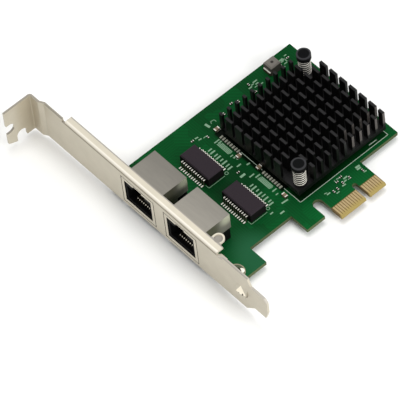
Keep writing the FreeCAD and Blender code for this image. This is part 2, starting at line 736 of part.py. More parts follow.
def make_port(side, middle):
    body = new_body("shield_" + side)
    half = "shield_width / 2"
    block = sketch(body, "XY_Plane")
    rectangle(block, "bracket_face", "%s - %s" % (middle, half), SHIELD_REAR, "%s + %s" % (middle, half))
    pad(body, block, "shield_height")
    hollow = sketch(body, "XY_Plane")
    inset = half + " - shield_wall"
    rectangle(hollow, "bracket_face + shield_wall", "%s - (%s)" % (middle, inset),
              SHIELD_REAR + " - shield_wall", "%s + (%s)" % (middle, inset))
    pocket(body, hollow, "shield_height - shield_wall", reverse=True)
    mouth = sketch(body, "YZ_Plane", "bracket_face")
    wide = "shield_open_width / 2"
    notch = "shield_notch_width / 2"
    outline(mouth, [
        ("%s - %s" % (middle, wide), "shield_open_low"),
        ("%s + %s" % (middle, wide), "shield_open_low"),
        ("%s + %s" % (middle, wide), "shield_open_high"),
        ("%s + %s" % (middle, notch), "shield_open_high"),
        ("%s + %s" % (middle, notch), "shield_notch_high"),
        ("%s - %s" % (middle, notch), "shield_notch_high"),
        ("%s - %s" % (middle, notch), "shield_open_high"),
        ("%s - %s" % (middle, wide), "shield_open_high"),
    ])
    pocket(body, mouth, "shield_wall", reverse=True)
    rear = sketch(body, "XZ_Plane")
    rectangle(rear, "bracket_face + shield_rear_place", "-cut_margin",
              SHIELD_REAR + " + cut_margin", "shield_rear_low")
    pocket(body, rear)
    legs = sketch(body, "XY_Plane")
    for sign, low, high in (("-", half, inset), ("+", inset, half)):
        rectangle(legs, "bracket_face + leg_place - leg_width / 2", "%s %s (%s)" % (middle, sign, low),
                  "bracket_face + leg_place + leg_width / 2", "%s %s (%s)" % (middle, sign, high))
    pad(body, legs, "leg_length", reverse=True)
    add(body, "port_%s_shield" % side)

    body = new_body("housing_" + side)
    block = sketch(body, "XY_Plane")
    reach = "(shield_width / 2 - shield_wall - housing_gap)"
    rectangle(block, HOUSING_FRONT, "%s - %s" % (middle, reach),
              SHIELD_REAR + " - shield_wall - housing_gap", "%s + %s" % (middle, reach))
    pad(body, block, "shield_height - shield_wall")
    cavity = sketch(body, "YZ_Plane", HOUSING_FRONT)
    wide = "plug_width / 2"
    latch = "latch_width / 2"
    notch = "shield_notch_width / 2"
    outline(cavity, [
        ("%s - %s" % (middle, wide), "plug_low"),
        ("%s + %s" % (middle, wide), "plug_low"),
        ("%s + %s" % (middle, wide), "plug_high"),
        ("%s + %s" % (middle, latch), "plug_high"),
        ("%s + %s" % (middle, latch), "latch_high"),
        ("%s + %s" % (middle, notch), "latch_high"),
        ("%s + %s" % (middle, notch), "shield_notch_high"),
        ("%s - %s" % (middle, notch), "shield_notch_high"),
        ("%s - %s" % (middle, notch), "latch_high"),
        ("%s - %s" % (middle, latch), "latch_high"),
        ("%s - %s" % (middle, latch), "plug_high"),
        ("%s - %s" % (middle, wide), "plug_high"),
    ])
    pocket(body, cavity, "plug_depth", reverse=True)
    for place, tail, odd in ROWS:
        back = "bracket_face + %s + wire_thickness + wire_slot_gap" % tail
        slot = sketch(body, "XZ_Plane", "-" + wire_y(middle, odd))
        outline(slot, [
            ("bracket_face + wire_front - wire_slot_gap", "wire_floor"),
            ("bracket_face + %s - wire_slot_gap" % tail, "wire_floor"),
            ("bracket_face + %s - wire_slot_gap" % tail, "-cut_margin"),
            (back, "-cut_margin"),
            (back, "plug_low + wire_slot_gap"),
            ("bracket_face + wire_front - wire_slot_gap", "plug_low + wire_slot_gap"),
        ])
        cut = pocket(body, slot, "wire_width + 2 * wire_slot_gap", middle=True)
        repeat(body, [cut], "Y_Axis", "2 * wire_pitch", WIRES_PER_ROW)
    pegs = sketch(body, "XY_Plane")
    peg_half = "peg_side / 2"
    for sign in ("-", "+"):
        peg_y = "%s %s %s" % (middle, sign, PEG_SPREAD)
        rectangle(pegs, "bracket_face + peg_place - " + peg_half, "%s - %s" % (peg_y, peg_half),
                  "bracket_face + peg_place + " + peg_half, "%s + %s" % (peg_y, peg_half))
    pad(body, pegs, "peg_length", reverse=True)
    add(body, "port_%s_housing" % side)

    body = new_body("wires_" + side)
    for place, tail, odd in ROWS:
        strip = sketch(body, "XZ_Plane", "-" + wire_y(middle, odd))
        front = "bracket_face + %s" % tail
        back = front + " + wire_thickness"
        outline(strip, [
            (front, "-wire_tail_length"),
            (front, "wire_floor"),
            ("bracket_face + wire_front", "wire_floor"),
            ("bracket_face + wire_front", "wire_floor + 2 * wire_thickness"),
            ("bracket_face + wire_tip_place", "wire_tip_height"),
            ("bracket_face + wire_tip_place + wire_thickness / 2", "wire_tip_height - wire_thickness"),
            ("bracket_face + wire_front + 3 * wire_thickness", "wire_floor + 2 * wire_thickness"),
            ("bracket_face + wire_front + 2 * wire_thickness", "wire_floor + wire_thickness"),
            (back, "wire_floor + wire_thickness"),
            (back, "-wire_tail_length"),
        ])
        wire = pad(body, strip, "wire_width", middle=True)
        repeat(body, [wire], "Y_Axis", "2 * wire_pitch", WIRES_PER_ROW)
    add(body, "port_%s_contacts" % side)


def make_transformer(side, middle):
    low = middle + " - transformer_length / 2"
    left = "transformer_place - transformer_width / 2"
    bevelled("transformer_%s_body" % side, "transformer_" + side, left, low, "transformer_lift",
             "transformer_width", "transformer_length", "transformer_top - transformer_lift",
             "transformer_bevel")
    body = new_body("leads_" + side)
    for sign in ("-", "+"):
        base = "transformer_place %s " % sign
        first = "%s - lead_pitch * %d / 2" % (middle, LEADS_PER_SIDE - 1)
        strip = sketch(body, "XZ_Plane", "-(%s)" % first)
        outline(strip, [
            (base + "transformer_width / 2", "lead_exit"),
            (base + "transformer_width / 2", "lead_exit + lead_thickness"),
            (base + "(lead_shoulder + lead_thickness / 2)", "lead_exit + lead_thickness"),
            (base + "(lead_knee + lead_thickness / 2)", "lead_thickness"),
            (base + "lead_reach", "lead_thickness"),
            (base + "lead_reach", "0"),
            (base + "(lead_knee - lead_thickness / 2)", "0"),
            (base + "(lead_shoulder - lead_thickness / 2)", "lead_exit"),
        ])
        lead = pad(body, strip, "lead_width", middle=True)
        repeat(body, [lead], "Y_Axis", "lead_pitch", LEADS_PER_SIDE)
    add(body, "transformer_%s_leads" % side)


def make_heatsink():
    body = new_body("sink")
    block = sketch(body, "XY_Plane", "sink_seat")
    right = "sink_left + sink_width"
    high = "sink_low + sink_length"
    rectangle(block, "sink_left", "sink_low", right, high)
    pad(body, block, "sink_base + fin_height")
    top = "sink_seat + sink_base + fin_height"
    channel = sketch(body, "XY_Plane", top)
    rectangle(channel, "sink_left + fin_thickness", "sink_low - cut_margin",
              "sink_left + fin_pitch", high + " + cut_margin")
    first_channel = pocket(body, channel, "fin_height")
    repeat(body, [first_channel], "X_Axis", "fin_pitch", FIN_CHANNELS)
    groove = sketch(body, "XY_Plane", top)
    groove_low = "sink_low + groove_first - groove_width / 2"
    rectangle(groove, "sink_left - cut_margin", groove_low, right + " + cut_margin",
              groove_low + " + groove_width")
    first_groove = pocket(body, groove, "fin_height")
    repeat(body, [first_groove], "Y_Axis", "groove_pitch", FIN_GROOVES)
    clear = sketch(body, "XY_Plane", top)
    rectangle(clear, "sink_left - cut_margin", "sink_low - cut_margin", "sink_left + clear_width",
              "sink_low + clear_length")
    rectangle(clear, right + " - clear_width", high + " - clear_length", right + " + cut_margin",
              high + " + cut_margin")
    pocket(body, clear, "fin_height")
    holes = sketch(body, "XY_Plane", top)
    for side, x, y in PINS:
        circle(holes, x, y, "pin_shaft + 2 * pin_clearance")
    pocket(body, holes)
    add(body, "heatsink")


def make_push_pin(side, x, y):
    body = new_body("pin_" + side, x, y)
    drawing = sketch(body, "XZ_Plane")
    head_top = "pin_head_seat + pin_head_height"
    barb_top = "-board_thickness - barb_drop"
    outline(drawing, [
        ("0", barb_top + " - barb_length"),
        ("barb_tip / 2", barb_top + " - barb_length"),
        ("barb_diameter / 2", barb_top + " - barb_drop"),
        ("barb_diameter / 2", barb_top),
        ("pin_shaft / 2", barb_top),
        ("pin_shaft / 2", "pin_head_seat"),
        ("pin_head / 2", "pin_head_seat"),
        ("pin_head / 2", head_top),
        ("0", head_top),
    ])
    turn(body, drawing)
    slit = sketch(body, "XZ_Plane")
    rectangle(slit, "-pin_shaft / 8", barb_top + " - barb_length - cut_margin", "pin_shaft / 8",
              "-board_thickness / 2")
    pocket(body, slit, "2 * barb_diameter", middle=True)
    add(body, "push_pin_" + side)

    seat = "(sink_seat + sink_base)"
    helix = doc.addObject("Part::Helix", "helix_" + side)
    bind(helix, "Radius", "(spring_outside - spring_wire) / 2")
    bind(helix, "Height", "pin_head_seat - %s - spring_wire" % seat)
    bind(helix, "Pitch", "(pin_head_seat - %s - spring_wire) / spring_turns" % seat)
    section = doc.addObject("Part::RegularPolygon", "wire_section_" + side)
    section.Polygon = 3
    bind(section, "Circumradius", "spring_wire / 2")
    section.Placement.Rotation = FreeCAD.Rotation(FreeCAD.Vector(1, 0, 0), 90)
    bind(section, "Placement.Base.x", "(spring_outside - spring_wire) / 2")
    doc.recompute()
    coil = doc.addObject("Part::Sweep", "coil_" + side)
    coil.Sections = [section]
    coil.Spine = (helix, ["Edge%d" % n for n in range(1, len(helix.Shape.Edges) + 1)])
    coil.Solid = True
    coil.Frenet = True
    bind(coil, "Placement.Base.x", x)
    bind(coil, "Placement.Base.y", y)
    bind(coil, "Placement.Base.z", seat + " + spring_wire / 2")
    doc.recompute()
    add(coil, "push_pin_spring_" + side)


def make_controller():
    chip = box("chip", "chip_middle_x - chip_side / 2", "chip_middle_y - chip_side / 2", "0",
               "chip_side", "chip_side", "chip_height")
    add(chip, "controller_chip")
    pad_block = box("thermal", "chip_middle_x - pad_side / 2", "chip_middle_y - pad_side / 2",
                    "chip_height",
                    "pad_side", "pad_side", "sink_seat - chip_height")
    add(pad_block, "thermal_pad")


def make_inductor():
    bevelled("inductor_body", "coil_block", "coil_place_x - coil_width / 2",
             "coil_place_y - coil_length / 2", "0",
             "coil_width", "coil_length", "coil_height", "coil_bevel")
    bars = []
    for side, x in (("left", "coil_place_x - coil_width / 2 - coil_bar_width"),
                    ("right", "coil_place_x + coil_width / 2")):
        bars.append(box("coil_bar_" + side, x, "coil_place_y - coil_bar_length / 2", "0",
                        "coil_bar_width", "coil_bar_length", "coil_bar_height"))
    group("inductor_terminals", bars)


def two_ended(name, kind, x, y, along):
    """A small part with a metal cap at each end: its body block and its two cap blocks."""
    core = "(%s_length - 2 * %s_cap)" % (kind, kind)
    wide = kind + "_width"
    high = kind + "_height"
    cap = kind + "_cap"
    if along == "x":
        body = box(name, "%s - %s / 2" % (x, core), "%s - %s / 2" % (y, wide), "0", core, wide, high)
        low = box(name + "_low", "%s - %s / 2 - %s" % (x, core, cap), "%s - %s / 2" % (y, wide),
                  "0", cap, wide, high)
        far = box(name + "_far", "%s + %s / 2" % (x, core), "%s - %s / 2" % (y, wide), "0", cap,
                  wide, high)
    else:
        body = box(name, "%s - %s / 2" % (x, wide), "%s - %s / 2" % (y, core), "0", wide, core, high)
        low = box(name + "_low", "%s - %s / 2" % (x, wide), "%s - %s / 2 - %s" % (y, core, cap),
                  "0", wide, cap, high)
        far = box(name + "_far", "%s - %s / 2" % (x, wide), "%s + %s / 2" % (y, core), "0", wide,
                  cap, high)
    return body, [low, far]


def make_small_parts():
    for side in ("a", "b"):
        bodies = []
        caps = []
        for n in range(RESISTORS_PER_ROW):
            y = "(row_%s_first + %d * row_pitch)" % (side, n)
            core, ends = two_ended("resistor_%s_%d" % (side, n), "resistor", "row_place", y, "x")
            bodies.append(core)
            caps += ends
        group("resistor_row_%s_bodies" % side, bodies)
        group("resistor_row_%s_terminals" % side, caps)
    families = (("capacitor", "capacitor", CAPACITORS), ("bypass", "bypass_capacitor", BYPASSES))
    for kind, label, places in families:
        bodies = []
        caps = []
        for n, (x, y, along) in enumerate(places):
            core, ends = two_ended("%s_%d" % (kind, n), kind, x, y, along)
            bodies.append(core)
            caps += ends
        group(label + "_bodies", bodies)
        group(label + "_terminals", caps)


make_board()
make_gold()
make_plated_hole()
make_bracket()
make_screws()
for port_side, port_middle in PORTS:
    make_port(port_side, port_middle)
make_transformer("a", "transformer_a_middle")
make_transformer("b", "transformer_b_middle")
make_heatsink()
for pin_side, pin_x, pin_y in PINS:
    make_push_pin(pin_side, pin_x, pin_y)
make_controller()
make_inductor()
make_small_parts()

doc.recompute()
for item in doc.Objects:
    if "Invalid" in item.State or "Error" in item.State:
        raise ValueError("%s did not build: %s" % (item.Name, item.State))
for node in nodes:
    if node.Shape.isNull() or not node.Shape.isValid():
        raise ValueError("%s has no valid shape" % node.Label)
    node.Shape.exportStep("parts/%s.step" % node.Label)
    box_now = node.Shape.BoundBox
    print("%-30s solids %3d volume %9.2f" % (node.Label, len(node.Shape.Solids), node.Shape.Volume),
          "x %.2f %.2f y %.2f %.2f z %.2f %.2f" % (box_now.XMin, box_now.XMax, box_now.YMin, box_now.YMax,
                                                    box_now.ZMin, box_now.ZMax))
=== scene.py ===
# %% [markdown]
# # A network card on the table
#
# The card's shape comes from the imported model: every board, bracket, jack and fin is already where it
# belongs, in metres. This lesson adds what a model alone can't say: how each surface takes the light.
# The frame's origin is at the key notch of the gold edge. +X runs along the card away from the bracket,
# +Y runs towards the bracket's screw tab, and +Z points out of the component face.

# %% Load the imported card
import json
import math
import bpy
from mathutils import Matrix, Vector


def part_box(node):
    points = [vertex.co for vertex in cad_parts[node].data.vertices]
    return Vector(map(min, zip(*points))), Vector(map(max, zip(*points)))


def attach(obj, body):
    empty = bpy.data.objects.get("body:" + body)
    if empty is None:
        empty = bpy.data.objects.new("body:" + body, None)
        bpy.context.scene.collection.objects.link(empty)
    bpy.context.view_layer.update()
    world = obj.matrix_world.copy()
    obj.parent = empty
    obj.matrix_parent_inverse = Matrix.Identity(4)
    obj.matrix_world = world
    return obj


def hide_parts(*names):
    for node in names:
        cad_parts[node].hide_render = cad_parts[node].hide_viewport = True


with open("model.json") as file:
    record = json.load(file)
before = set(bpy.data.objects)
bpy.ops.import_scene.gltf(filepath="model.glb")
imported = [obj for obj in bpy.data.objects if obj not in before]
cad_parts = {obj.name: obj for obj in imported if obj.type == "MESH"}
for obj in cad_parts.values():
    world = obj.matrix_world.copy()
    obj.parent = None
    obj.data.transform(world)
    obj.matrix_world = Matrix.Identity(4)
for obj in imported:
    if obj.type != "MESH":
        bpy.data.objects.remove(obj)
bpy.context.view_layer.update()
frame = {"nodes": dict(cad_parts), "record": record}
nodes = frame["nodes"]
MM = 0.001

# %% [markdown]
# ## Small helpers for materials
#
# Colours are written as the hex values a designer would pick on screen. Blender works in linear light, so
# one function turns a hex value into linear numbers. A second one adds a node to a material's tree, and a
# third starts a material with its sheen. The nodes could be placed by hand in the shader editor. Written
# as code, each finish stays short enough to compare with the next one.

# %% Colours, nodes and the start of a material
def linear(hex_colour):
    """Linear RGBA of an sRGB hex colour such as 'c5beac'."""
    channels = []
    for start in (0, 2, 4):
        c = int(hex_colour[start:start + 2], 16) / 255
        channels.append(c / 12.92 if c <= 0.04045 else ((c + 0.055) / 1.055) ** 2.4)
    return (*channels, 1.0)


def add_node(tree, kind, settings=None, links=None):
    """Add a node, set its properties or socket values, and link its inputs from other sockets."""
    node = tree.nodes.new(kind)
    for name, value in (settings or {}).items():
        if isinstance(name, int) or name in node.inputs:
            node.inputs[name].default_value = value
        else:
            setattr(node, name, value)
    for name, source in (links or {}).items():
        tree.links.new(source, node.inputs[name])
    return node


def new_material(name, metallic, roughness, gloss):
    """A new material and its main shader, with the sheen set and the base colour still to come."""
    material = bpy.data.materials.new(name)
    material.use_nodes = True
    shader = material.node_tree.nodes["Principled BSDF"]
    shader.inputs["Metallic"].default_value = metallic
    shader.inputs["Roughness"].default_value = roughness
    shader.inputs["Specular IOR Level"].default_value = gloss
    return material, shader


print("middle grey 808080 in linear light:", round(linear("808080")[0], 3))

# %% [markdown]
# ## Masks by place
#
# One sheet of steel can need painted shade in a fold, a painted highlight along a bend and painted shade in a
# gap. Those tones could be painted on a texture, but a card has no unwrapped surface to paint on. So masks
# pick each area out by its place in millimetres. A mask is 1 on some part of a surface and 0 elsewhere, and
# two masks multiplied leave only the area they share.

# %% Masks that depend on where a point is
AXES = {"X": Vector((1, 0, 0)), "Y": Vector((0, 1, 0)), "Z": Vector((0, 0, 1))}


def distance_mask(material, centre_mm, weights, near_mm, far_mm):
    """1 within near_mm of a point, line or plane, and 0 beyond far_mm; weights of 0 ignore an axis."""
    tree = material.node_tree
    place = add_node(tree, "ShaderNodeTexCoord")
    offset = add_node(tree, "ShaderNodeVectorMath", {"operation": "SUBTRACT", 1: [c * MM for c in centre_mm]},
                      {0: place.outputs["Object"]})
    weighted = add_node(tree, "ShaderNodeVectorMath", {"operation": "MULTIPLY", 1: weights},
                        {0: offset.outputs["Vector"]})
    away = add_node(tree, "ShaderNodeVectorMath", {"operation": "LENGTH"}, {0: weighted.outputs["Vector"]})
    mask = add_node(tree, "ShaderNodeMapRange",
                    {"interpolation_type": "SMOOTHSTEP", "From Min": near_mm * MM, "From Max": far_mm * MM,
                     "To Min": 1.0, "To Max": 0.0}, {"Value": away.outputs["Value"]})
    return mask.outputs["Result"]


def side_mask(material, direction, limit_mm):
    """1 on the near side of a plane, which lies limit_mm along a direction from the origin, else 0."""
    tree = material.node_tree
    place = add_node(tree, "ShaderNodeTexCoord")
    along = add_node(tree, "ShaderNodeVectorMath", {"operation": "DOT_PRODUCT", 1: direction},
                     {0: place.outputs["Object"]})
    inside = add_node(tree, "ShaderNodeMath", {"operation": "LESS_THAN", 1: limit_mm * MM},
                      {0: along.outputs["Value"]})
    return inside.outputs[0]


def below(material, axis, limit_mm):
    """1 where a coordinate is under a limit, else 0."""
    return side_mask(material, AXES[axis], limit_mm)


def beyond(material, axis, limit_mm):
    """1 where a coordinate is over a limit, else 0."""
    return side_mask(material, -AXES[axis], -limit_mm)


print("axes that a side mask can use:", ", ".join(AXES))

# %% [markdown]
# ## Masks by facing, and the recolouring
#
# Some tones follow the way a surface faces, such as painted shade on a side under a paler top. The surface's
# normal tells that, so these masks need no place at all. The last function lays a colour over the material
# where a mask is 1. It could build a second shader and mix the two, but one more colour ahead of the same
# shader bakes more simply.

# %% Masks that depend on the normal, and their use
def facing_mask(material, axis, limit, sense="LESS_THAN"):
    """1 where the surface normal's part along an axis lies under (or over) a limit, else 0."""
    tree = material.node_tree
    shape = add_node(tree, "ShaderNodeNewGeometry")
    parts = add_node(tree, "ShaderNodeSeparateXYZ", {}, {"Vector": shape.outputs["Normal"]})
    facing = add_node(tree, "ShaderNodeMath", {"operation": sense, 1: limit}, {0: parts.outputs[axis]})
    return facing.outputs[0]


def overlap(material, *masks):
    """Where every one of the masks is 1."""
    shared = masks[0]
    for mask in masks[1:]:
        both = add_node(material.node_tree, "ShaderNodeMath", {"operation": "MULTIPLY"}, {0: shared, 1: mask})
        shared = both.outputs[0]
    return shared


tone_counts = {}


def recolour_where(material, mask, hex_colour, blend="MIX"):
    """Blend a hex colour into the base colour where a mask is 1, fading where it is between."""
    tree = material.node_tree
    base = tree.nodes["Principled BSDF"].inputs["Base Color"]
    before = base.links[0].from_socket
    tint = add_node(tree, "ShaderNodeMix", {"data_type": "RGBA", "blend_type": blend, 7: linear(hex_colour)},
                    {"Factor": mask, 6: before})
    tree.links.new(tint.outputs[2], base)
    tone_counts[material.name] = tone_counts.get(material.name, 0) + 1


print("a facing mask reads the normal along", " or ".join(AXES))

# %% [markdown]
# ## One recipe for most surfaces
#
# Every surface here is a base colour that wanders a little between a light and a dark tone, a metal or
# plastic sheen, and sometimes a fine grain. A picture texture could give the same, but noise needs no
# file. It is measured in millimetres through Object coordinates, so it stays the right size on a 1 mm
# resistor and on a 120 mm bracket alike.

# %% The common surface
def surface(name, dark, light, metallic=0.0, roughness=0.5, grain_mm=2.0, bump=0.0, stretch=(1, 1, 1),
            gloss=0.2):
    material, shader = new_material(name, metallic, roughness, gloss)
    tree = material.node_tree
    place = add_node(tree, "ShaderNodeTexCoord")
    per_metre = 1 / (grain_mm * MM)
    grid = add_node(tree, "ShaderNodeMapping", {"Scale": [per_metre * s for s in stretch]},
                    {"Vector": place.outputs["Object"]})
    noise = add_node(tree, "ShaderNodeTexNoise", {"Scale": 1.0, "Detail": 3.0},
                     {"Vector": grid.outputs["Vector"]})
    tones = add_node(tree, "ShaderNodeMix", {"data_type": "RGBA", 6: linear(dark), 7: linear(light)},
                     {"Factor": noise.outputs["Fac"]})
    tree.links.new(tones.outputs[2], shader.inputs["Base Color"])
    if bump:
        relief = add_node(tree, "ShaderNodeBump", {"Strength": 0.4, "Distance": bump * MM},
                          {"Height": noise.outputs["Fac"]})
        tree.links.new(relief.outputs["Normal"], shader.inputs["Normal"])
    return material


print("a 1 mm grain is a noise scale of", 1 / MM, "in a scene measured in metres")

# %% [markdown]
# ## The board
#
# A circuit board is copper tracks under green lacquer. Where copper lies below, the green is lighter. The
# tracks could be drawn one by one, but from this far away they are only a tone. So square cells stand in
# for the copper areas, and fine bands inside them for the tracks, across X, across Y or aslant. The
# lacquer stops short of the mating edge. The sawn edges are bare glass laminate, a dull straw colour.

# %% The board's surface
TONGUE_LEFT, TONGUE_TOP = -12.3, 5.45
AREA_MM = 6.5
# Real tracks are about 0.2 mm wide and too fine to show, so the bands are drawn as coarse as they need.
TRACK_MM = 0.95
# A wave texture at scale 1 repeats after this length.
WAVE_REPEAT = 0.314


def board_surface(name):
    material, shader = new_material(name, 0.0, 0.4, 0.04)
    tree = material.node_tree
    place = add_node(tree, "ShaderNodeTexCoord")
    areas = add_node(tree, "ShaderNodeTexVoronoi", {"distance": "CHEBYCHEV", "Scale": 1 / (AREA_MM * MM)},
                     {"Vector": place.outputs["Object"]})
    across_x, across_y, aslant = [
        add_node(tree, "ShaderNodeTexWave",
                 {"bands_direction": way, "Scale": WAVE_REPEAT / (TRACK_MM * MM), "Distortion": 0.3},
                 {"Vector": place.outputs["Object"]}).outputs["Fac"] for way in ("X", "Y", "DIAGONAL")]
    turned, tilted = [
        add_node(tree, "ShaderNodeMath", {"operation": "GREATER_THAN", 1: share},
                 {0: areas.outputs["Color"]}).outputs[0] for share in (0.5, 0.66)]
    straight = add_node(tree, "ShaderNodeMix", {}, {"Factor": turned, 2: across_x, 3: across_y})
    bands = add_node(tree, "ShaderNodeMix", {}, {"Factor": tilted, 2: straight.outputs[0], 3: aslant})
    tracks = add_node(tree, "ShaderNodeMapRange", {"From Min": 0.55, "From Max": 0.8, "To Max": 0.16},
                      {"Value": bands.outputs[0]})
    tone = add_node(tree, "ShaderNodeMath", {"operation": "MULTIPLY_ADD", 1: 0.4},
                    {0: areas.outputs["Color"], 2: tracks.outputs["Result"]})
    lacquer = add_node(tree, "ShaderNodeMix", {"data_type": "RGBA", 6: linear("06431c"), 7: linear("056c31")},
                       {"Factor": tone.outputs[0]})
    tongue = overlap(material, below(material, "Y", TONGUE_TOP), beyond(material, "X", TONGUE_LEFT))
    sawn = overlap(material, facing_mask(material, "Z", 0.9),
                   facing_mask(material, "Z", -0.9, "GREATER_THAN"))
    straw = add_node(tree, "ShaderNodeMix", {"data_type": "RGBA", 6: linear("566040"), 7: linear("6c5833")},
                     {"Factor": tongue})
    bare = add_node(tree, "ShaderNodeMath", {"operation": "MAXIMUM"}, {0: sawn, 1: tongue})
    board = add_node(tree, "ShaderNodeMix", {"data_type": "RGBA"},
                     {"Factor": bare.outputs[0], 6: lacquer.outputs[2], 7: straw.outputs[2]})
    tree.links.new(board.outputs[2], shader.inputs["Base Color"])
    return material


print("copper areas are", AREA_MM, "mm across and tracks", TRACK_MM, "mm apart")

# %% [markdown]
# ## The finishes on this card
#
# Each material is named for what it is in life, and a comment says what that gives the eye. Full metals
# could mirror everything round them. Plated sheet from a stamping press is softer than that, so its metal
# sheen is partial and rough, and most of its brightness is its own colour.

# %% All the finishes
finishes = {
    # Green lacquer over etched copper and woven glass: deep, even and barely glossy.
    "laminate": board_surface("Green solder mask over glass laminate"),
    # Hard plated contacts: a pale, dry yellow.
    "gold": surface("Hard gold plating", "97835d", "b7a279", 0.35, 0.45, 0.8),
    # Stamped and plated sheet: warm, light and softly shining.
    "bracket_steel": surface("Nickel-plated steel sheet", "bfb8a7", "cfc8b7", 0.35, 0.45, 6.0, 0.004),
    # Drawn sheet keeps fine streaks from the die, so its tone is stretched along one axis.
    "shield_steel": surface("Drawn steel of a jack shield", "8a867e", "979389", 0.4, 0.42, 3.0, 0.004,
                            stretch=(4, 0.5, 1)),
    # Moulded plastic: nearly black, with a dull skin.
    "black_plastic": surface("Black moulded plastic", "0b0b0c", "101011", 0.0, 0.55, 0.6, 0.01, gloss=0.048),
    # A moulded electronic package is charcoal with a faint violet cast, and matt.
    "mould": surface("Dark moulding compound", "241e23", "322b30", 0.0, 0.65, 0.25, 0.02, gloss=0.08),
    # Bright tin on thin strip: the palest metal here.
    "tin": surface("Tinned copper strip", "d5d2c7", "e5e3d9", 0.15, 0.4, 0.7),
    # Thin bent wire inside a dark cavity: gold plated, its colour kept nearly black as painted shade of the
    # cavity.
    "contact": surface("Gold-plated contact wire", "1c1811", "292318", 0.2, 0.45, 0.7, gloss=0.08),
    # Anodised aluminium: deep black with a fine satin skin.
    "anodised": surface("Black anodised aluminium", "0a090a", "100f10", 0.0, 0.4, 1.5, 0.004),
    # Drawn wire: pale, with painted shade laid on the inside of each turn further down.
    "spring_steel": surface("Drawn spring steel", "cdcabf", "e0dcd3", 0.3, 0.35, 0.8),
    # A soft filled pad: flat bluish grey.
    "silicone": surface("Grey thermal silicone", "8e98a3", "a1abb5", 0.0, 0.8, 0.5),
    # Fired ceramic of the larger capacitors: tan and matt.
    "tan_ceramic": surface("Tan capacitor ceramic", "6b5c4c", "85725c", 0.0, 0.6, 0.4, gloss=0.12),
    # Fired ceramic of the bypass capacitors: dark brown.
    "brown_ceramic": surface("Brown capacitor ceramic", "1c1813", "2e261e", 0.0, 0.6, 0.4, gloss=0.12),
    # Glazed backs of the resistors: a greenish grey.
    "dark_ceramic": surface("Grey resistor glaze", "858779", "9b9c8e", 0.0, 0.5, 0.3, gloss=0.12),
    # Small soldered ends have lost their shine.
    "dull_tin": surface("Dull tinned end of a small part", "8b8c80", "a2a395", 0.1, 0.5, 0.5),
    # Turned and zinc-plated: the most metallic finish, cool and bright.
    "screw_steel": surface("Zinc-plated screw steel", "90908f", "a3a3a2", 0.7, 0.35, 0.9),
    # A tinned ring of copper: warm grey.
    "copper": surface("Tinned copper land", "847e6a", "a49c84", 0.3, 0.5, 0.5),
    # Pressed and fired ferrite powder: stony grey.
    "ferrite": surface("Grey ferrite moulding", "66625c", "76726b", 0.0, 0.6, 0.3, 0.01, gloss=0.12),
    # Thick screen-printed ink: a soft greenish white.
    "ink": surface("White legend ink", "a3b3a2", "b5c2b2", 0.0, 0.7, 0.5, gloss=0.08),
    # Thin ink lets the green through.
    "faint_ink": surface("Thin legend ink", "6b8f72", "8cab90", 0.0, 0.7, 0.5, gloss=0.08),
}
print("finishes made:", len(finishes))

# %% [markdown]
# ## The jack shields
#
# A shield is a drawn steel cap over a moulded jack. Painted shade darkens its top towards its rear, and
# darkens the far shield a little more than the near one. Its side has painted shade, except for a painted
# pool of the board's light, and its rounded top edge has a painted highlight. Its front rim is plated like
# the bracket round it, and the narrow gap between the two has painted shade. More lamps could give some of
# these tones, but masks keep them on the shields and off everything else.

# %% Tones of the shields
BRACKET_FACE = -59.6
JACKS_BOUNDARY = 39.4

shield = finishes["shield_steel"]
# Painted shade: each top darkens towards its rear, and the far shield is darker overall.
recolour_where(shield, distance_mask(shield, (-43, 0, 0), (1, 0, 0), 0, 15), "e0e0e0", "MULTIPLY")
recolour_where(shield, beyond(shield, "Y", JACKS_BOUNDARY), "e6e6e6", "MULTIPLY")
# Painted shade on the front part of each shield's side, with a painted pool of light on it further back.
flank = facing_mask(shield, "Y", -0.5)
front_half = distance_mask(shield, (BRACKET_FACE, 0, 0), (1, 0, 0), 8, 12.5)
recolour_where(shield, overlap(shield, flank, front_half), "5f5e4e")
lit_spot = distance_mask(shield, (-45.5, 0, 12), (1, 0, 1), 1, 4)
recolour_where(shield, overlap(shield, flank, lit_spot), "b9b9a4")
# Painted highlight along the rounded top edge.
rounded_edge = overlap(shield, facing_mask(shield, "Z", 0.3, "GREATER_THAN"), facing_mask(shield, "Z", 0.95))
recolour_where(shield, rounded_edge, "e9e6da")
# Painted shade in the narrow gap at the front; the front rim itself takes the bracket's plated colour.
front = distance_mask(shield, (BRACKET_FACE, 0, 0), (1, 0, 0), 0.9, 1.0)
recolour_where(shield, front, "16140f")
recolour_where(shield, overlap(shield, front, facing_mask(shield, "X", -0.5)), "ccc5b4")
print("tones on the shields:", tone_counts[shield.name])

# %% [markdown]
# ## The bracket's folds and edges
#
# The bracket is one sheet, folded in a press. Along the fold of the tab lies a band of painted shade, along
# the flange's bend a painted highlight, and under it a line of painted shade. The flange's far edge is
# darker, and so is the sheet's edge past the flange's two ends. A sharper light would show some of this, but
# it would also burn out the flat face, so each line is a mask along the bend that makes it.

# %% Tones of the folds and edges
FLANGE_TOP = 16.82
FLANGE_FAR_EDGE = -56.4
FLANGE_LOW, FLANGE_HIGH = 9.4, 87.4

bracket = finishes["bracket_steel"]
# Painted shade: a broad band darkens the tab's fold.
fold = distance_mask(bracket, (-62.6, 105.0, 0), (1, 1, 0), 1.5, 7.0)
recolour_where(bracket, fold, "f0ece5", "MULTIPLY")

flanged = overlap(bracket, beyond(bracket, "Y", FLANGE_LOW), below(bracket, "Y", FLANGE_HIGH))
